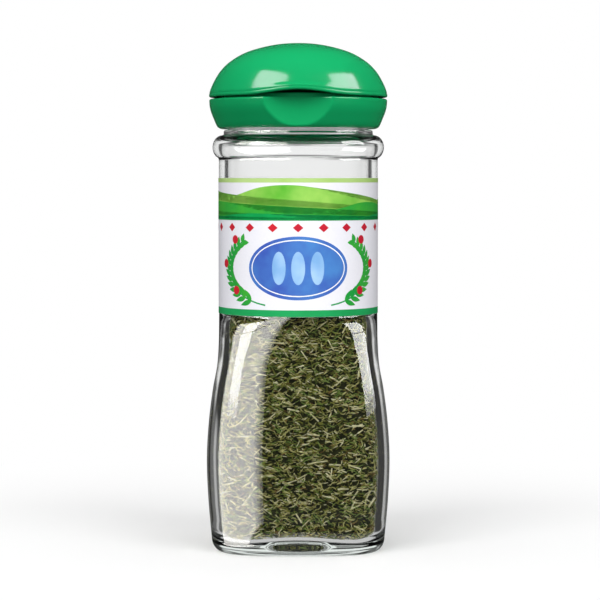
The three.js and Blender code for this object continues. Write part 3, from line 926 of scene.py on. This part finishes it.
rims = [e for e in sifter.edges if on_hole_rim(e)]
bmesh.ops.bevel(sifter, geom=rims, offset=0.22 * MM, segments=3, profile=0.5, affect="EDGES", material=-1)
sifter_plate = piece(sifter, "sifter_plate", cap_green, "jar", smooth=False)
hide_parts("cap_base")

# %% [markdown]
# ## The flip lid
# The lid is a thin dome with a plug ring inside that shuts the sifter. Outside, its rim has a narrow
# upright band with a crease above it, and over the scoop the rim lifts in a low arch, so that a thumb
# finds the edge. A Solidify modifier would give no plug ring, so the whole section is one outline, spun
# once. Its two ends aren't joined, so the rim is open underneath, where it rests on the base's ledge.

# %% Lid
DOME_R, DOME_Z, TOP_Z = lid_high.x, 100.5, lid_high.z
LID_WALL, ARCH, ARCH_HALF = 1.55, 1.1, 12
PLUG_R, PLUG_WALL, PLUG_LOW = 9.6, 1.0, 101.0
inner_r, inner_rise = DOME_R - LID_WALL, TOP_Z - DOME_Z - LID_WALL


def underside(r):
    return DOME_Z + inner_rise * math.sqrt(1 - (r / inner_r) ** 2)


dome = spline([(19.75, 100.72), (19.62, 101.5), (18.68, 103.6), (17.33, 105.75), (15.33, 107.75),
               (12.12, 109.7), (8.2, 111.0), (4.1, 111.78), (0, TOP_Z), (-4.1, 111.78)], 90)[:-10]
bore = PLUG_R - PLUG_WALL
lid_outline = [
    *arc((DOME_R - 0.3, RIM_Z + 0.3), (0.3, 0.3), -90, 0, 6),
    (DOME_R, RIM_Z + 0.55), (DOME_R - 0.06, RIM_Z + 0.66),
    *dome[:-1], (0, TOP_Z), (0, underside(0)),
    *[(r, underside(r)) for r in (0.3 * bore, 0.6 * bore, bore - 0.5)],
    (bore - 0.1, underside(bore) - 0.15), (bore, underside(bore) - 0.6), (bore, PLUG_LOW + 0.15),
    (bore + 0.15, PLUG_LOW), (PLUG_R - 0.15, PLUG_LOW), (PLUG_R, PLUG_LOW + 0.15),
    (PLUG_R, underside(PLUG_R) - 0.6), (PLUG_R + 0.15, underside(PLUG_R) - 0.2),
    *[(inner_r * math.cos(a), DOME_Z + inner_rise * math.sin(a)) for a in np.linspace(0.95, 0, 20)],
    (inner_r, RIM_Z + 0.2), (inner_r + 0.2, RIM_Z),
]
LID_STEPS, SKIRT_R, SKIRT_TOP = 288, 17, 103  # only the skirt has the flat and the arch
lid_mesh = spun(lid_outline, LID_STEPS)
draw_to_front(lid_mesh, 0.35)
for v in lid_mesh.verts:
    x, y, z = v.co / MM
    r = math.hypot(x, y)
    if r > SKIRT_R and z < SKIRT_TOP:
        limit = to_flat(math.atan2(y, x))
        if limit < BEYOND and r > limit - 0.3:
            r_new = soft_min(r, limit, FLAT_EDGE)
            v.co.x, v.co.y = x * r_new / r * MM, y * r_new / r * MM
        if y < 0 and abs(x) < ARCH_HALF:
            rise = ARCH * math.cos(math.pi * x / (2 * ARCH_HALF)) ** 2
            v.co.z += rise * (1 - ease(z, RIM_Z + 0.6, SKIRT_TOP)) * MM
lid = piece(lid_mesh, "lid_shell", cap_green, "lid")
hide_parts("flip_lid")

# %% [markdown]
# ## The living hinge
# Polypropylene can bend thousands of times where it is thin, so the hinge is only a strip of the same
# plastic, a third of a millimetre thick, that joins base and lid. An armature could bend it. Here the
# strip is cut across into short steps.

# %% Hinge film
film = bmesh.new()
bmesh.ops.create_cube(film, size=1)
FILM_WIDE, FILM_THICK, FILM_IN = 9.0, 0.3, 0.17
film_low, film_high = HINGE_Z - 0.4, HINGE_Z + 0.4
bmesh.ops.scale(film, verts=film.verts, vec=(FILM_WIDE * MM, FILM_THICK * MM, (film_high - film_low) * MM))
bmesh.ops.translate(film, verts=film.verts, vec=(0, (HINGE_Y - FILM_IN) * MM, HINGE_Z * MM))
for height in np.linspace(film_low, film_high, 13)[1:-1]:
    bmesh.ops.bisect_plane(film, geom=film.verts[:] + film.edges[:] + film.faces[:], dist=1e-7,
                           plane_co=(0, 0, height * MM), plane_no=(0, 0, 1))
hinge_film = piece(film, "hinge_film", cap_green, None)
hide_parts("living_hinge")
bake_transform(hinge_film)

# %% [markdown]
# ## The studio
# Clear glass is lit by what it reflects and by what is seen through it. A white background behind the jar
# with darker sides gives the walls their dark outlines. Two soft boxes give the bright patches on the cap,
# a low white card on the left lays a pale veil over the dill on that side, and a narrow strip on each side
# edges the glass. Those cards are only for reflections, and broad lamps that leave none light the
# colours. Light linking gives each material its own level.

# %% Floor
SWEEP_R = 2.6  # radius of the paper, in metres
SHADE_R, WHITE_R = 0.03, 0.16  # its own shade ends here, and plain white starts here
SMOOTH = {"interpolation_type": "SMOOTHSTEP"}
floor_bm = bmesh.new()
bmesh.ops.create_circle(floor_bm, cap_ends=True, segments=96, radius=SWEEP_R)
floor_material, tree = new_material("pale paper sweep")
place = add(tree, "TexCoord")
distance = add(tree, "VectorMath", {"operation": "LENGTH"}, _0=place.outputs["Object"])
fade = add(tree, "MapRange", SMOOTH, Value=distance.outputs["Value"], From_Min=SHADE_R, From_Max=WHITE_R)
sheet = add(tree, "BsdfDiffuse", Color=(0.9, 0.9, 0.9, 1))
glow = add(tree, "Emission", Color=(1, 1, 1, 1), Strength=1.0)
mixed = add(tree, "MixShader", Fac=fade, _1=sheet, _2=glow)
output(tree, Surface=mixed)
floor = piece(floor_bm, "studio_floor", floor_material, None, smooth=False)
floor.visible_glossy = floor.visible_transmission = floor.visible_diffuse = False
floor.visible_shadow = False  # it is only a backdrop, so it casts and bounces nothing


# %% Cards and lamps
def lamp(name, left, up, wide, tall, distance, radiance, card, height=0.06, roll=0, tone="#ffffff", only=()):
    """A rectangular light, placed by degrees left of the camera's side and up from a height on the jar's
    axis, and aimed there. A card shows in reflections and gives no colour; a lamp gives colour only.
    only lists the pieces that its light reaches; with none listed it reaches them all."""
    data = bpy.data.lights.new(name, "AREA")
    data.shape = "RECTANGLE"
    data.size, data.size_y = wide, tall
    data.energy = radiance * math.pi * wide * tall
    data.color = linear(tone)[:3]
    made = placed(name, data)
    a, e = math.radians(left), math.radians(up)
    way = Vector((-math.sin(a) * math.cos(e), -math.cos(a) * math.cos(e), math.sin(e)))
    made.location = Vector((0, 0, height)) + way * distance
    made.rotation_euler = (way.to_track_quat("Z", "Y").to_matrix()
                           @ Matrix.Rotation(math.radians(roll), 3, "Z")).to_euler()
    made.visible_camera = made.visible_transmission = False
    made.visible_diffuse, made.visible_glossy = not card, card
    if only:
        made.light_linking.receiver_collection = bpy.data.collections.new(name)
        for receiver in only:
            made.light_linking.receiver_collection.objects.link(receiver)


cap_pieces = (lid, cap_shell)
lamp("soft box, left", 51, 50, 0.52, 0.43, 0.88, 9, True, tone="#ffe0fa", only=cap_pieces)
lamp("soft box, right", -77.8, 41.7, 0.5, 0.36, 0.88, 9, True, roll=-20, tone="#ffe0fa", only=cap_pieces)

# A tall card near the jar also shows as a white patch in the empty glass above the dill. So near cards
# end below it and far ones carry on above. Near ones are stacked, each a little smaller, for soft edges.
NEAR, FAR = 0.10, 0.30
NEAR_TOP, FAR_MIDDLE, FAR_TALL = 0.079, 0.2295, 0.145
STRIP_LOW, STRIP_SPREAD = 0.040, 0.006
for i in range(4):
    lamp("low card, left %d" % i, 50, 0, 0.17 - 0.01 * i, 0.11, NEAR + 0.0007 * i, 2.8, True,
         height=0.024, tone="#fffcf6", only=(glass_jar,))
    lamp("low card, left, upper part %d" % i, 53, 0, 0.51 - 0.03 * i, FAR_TALL, FAR + 0.002 * i, 2.8, True,
         height=FAR_MIDDLE, tone="#fffcf6", only=(glass_jar,))
for side, left, wide, far_left, far_wide in (("left", 53.3, 0.042, 56.5, 0.13),
                                             ("right", -76.5, 0.07, -81, 0.21)):
    for i in range(3):
        low = STRIP_LOW + STRIP_SPREAD * i
        lamp("side strip, %s %d" % (side, i), left, 0, wide, NEAR_TOP - low, NEAR + 0.0007 * i, 3.8, True,
             height=(low + NEAR_TOP) / 2, only=(glass_jar,))
    lamp("side strip, %s, upper part" % side, far_left, 0, far_wide, FAR_TALL, FAR, 11.4, True,
         height=FAR_MIDDLE, only=(glass_jar,))
LAMPS = [
    ("lamp, left", (), 38, 46, 0.5, 0.5, 1.0, 4.7),
    ("lamp, right", (), -42, 44, 0.5, 0.5, 1.0, 3.9),
    ("lamp, above", (), 0, 85, 0.8, 0.8, 0.9, 0.5),
    ("lamp on the cap, left", cap_pieces, 58, 6, 0.5, 0.4, 1.0, 2.0),
    ("lamp on the cap, right", cap_pieces, -58, 6, 0.5, 0.4, 1.0, 2.5),
    ("lamp on the dill", dill_pieces, 0, 22, 0.6, 0.4, 1.1, 5.4),
    ("lamp on the label", label_pieces, 0, 15, 0.7, 0.4, 1.1, 8.2),
    ("lamp on the back of the label", label_pieces, 180, 20, 0.7, 0.4, 1.1, 6.0),
]
for name, only, *numbers in LAMPS:
    lamp(name, *numbers, False, only=only)
lamp("glow of the table under the jar", 0, -90, 0.05, 0.05, 0.03, 1.0, False, height=0.0, only=dill_pieces)
print("lights:", len(bpy.data.lights))

# %% [markdown]
# ## The surroundings
# Walls could be modelled round the jar, but a world can answer each kind of ray in its own way: white for
# the camera, nearly black for reflections, so that only the cards show, a soft glow for matt surfaces,
# and a bright panel with dark sides for rays that pass through the glass. Below the horizon those see
# bands, which streak the base.

# %% Surroundings
DARK = 0.03
world = bpy.data.worlds.new("studio")
bpy.context.scene.world = world
world.use_nodes = True
tree = world.node_tree
tree.nodes.clear()
way = add(tree, "TexCoord").outputs["Generated"]
way_x, way_y, way_z = add(tree, "SeparateXYZ", Vector=way).outputs
slide = add(tree, "Math", {"operation": "MULTIPLY_ADD"}, _0=way_x, _1=0.5, _2=0.5)
bands = add(tree, "ValToRGB", Fac=slide)
# Places across the view, from -1 at the left to 1, each with its brightness.
stops = [(-0.82, 0.15), (-0.77, 0.5), (-0.70, 0.5), (-0.66, 0.18), (-0.5, 0.17), (-0.45, 0.03), (-0.37, 0.03),
         (-0.30, 0.30), (0.28, 0.30), (0.32, 0.16), (0.40, 0.2), (0.44, 0.5), (0.55, 0.55), (0.61, 0.05)]
ramp = bands.color_ramp.elements
for i, (x, level) in enumerate(stops):
    stop = ramp[i] if i < 2 else ramp.new(0.5 * x + 0.5)
    stop.position = 0.5 * x + 0.5
    stop.color = (level, level, level, 1)
across = add(tree, "Math", {"operation": "ABSOLUTE"}, _0=way_x)
panel = add(tree, "MapRange", SMOOTH, Value=across, From_Min=0.50, From_Max=0.62, To_Min=1.0, To_Max=0.04)
high = add(tree, "MapRange", SMOOTH, Value=way_z, From_Min=-0.06, From_Max=0.0)
wall = add(tree, "Mix", {"data_type": "FLOAT"}, _0=high, _2=bands, _3=panel)
behind = add(tree, "MapRange", SMOOTH, Value=way_y, From_Min=-0.05, From_Max=0.12)
back = add(tree, "Math", {"operation": "MULTIPLY"}, _0=wall, _1=behind)
below = add(tree, "MapRange", SMOOTH, Value=way_z, From_Min=-0.22, From_Max=-0.45,
            To_Min=0.0, To_Max=0.6)
lit = add(tree, "Math", {"operation": "MAXIMUM"}, _0=back, _1=below)
white = add(tree, "Math", {"operation": "MAXIMUM"}, _0=lit, _1=DARK)
ambient = add(tree, "MapRange", Value=way_z, From_Min=-0.3, From_Max=0.3, To_Min=0.1,
              To_Max=0.6)
path = add(tree, "LightPath")
light = white
for ray, level in (("Is Reflection Ray", DARK), ("Is Diffuse Ray", ambient), ("Is Camera Ray", 1.0)):
    light = add(tree, "Mix", {"data_type": "FLOAT"}, _0=path.outputs[ray], _2=light, _3=level)
sky = add(tree, "Background", Color=(1, 1, 1, 1), Strength=light)
add(tree, "OutputWorld", Surface=sky)
bpy.context.scene.view_settings.view_transform = "Standard"
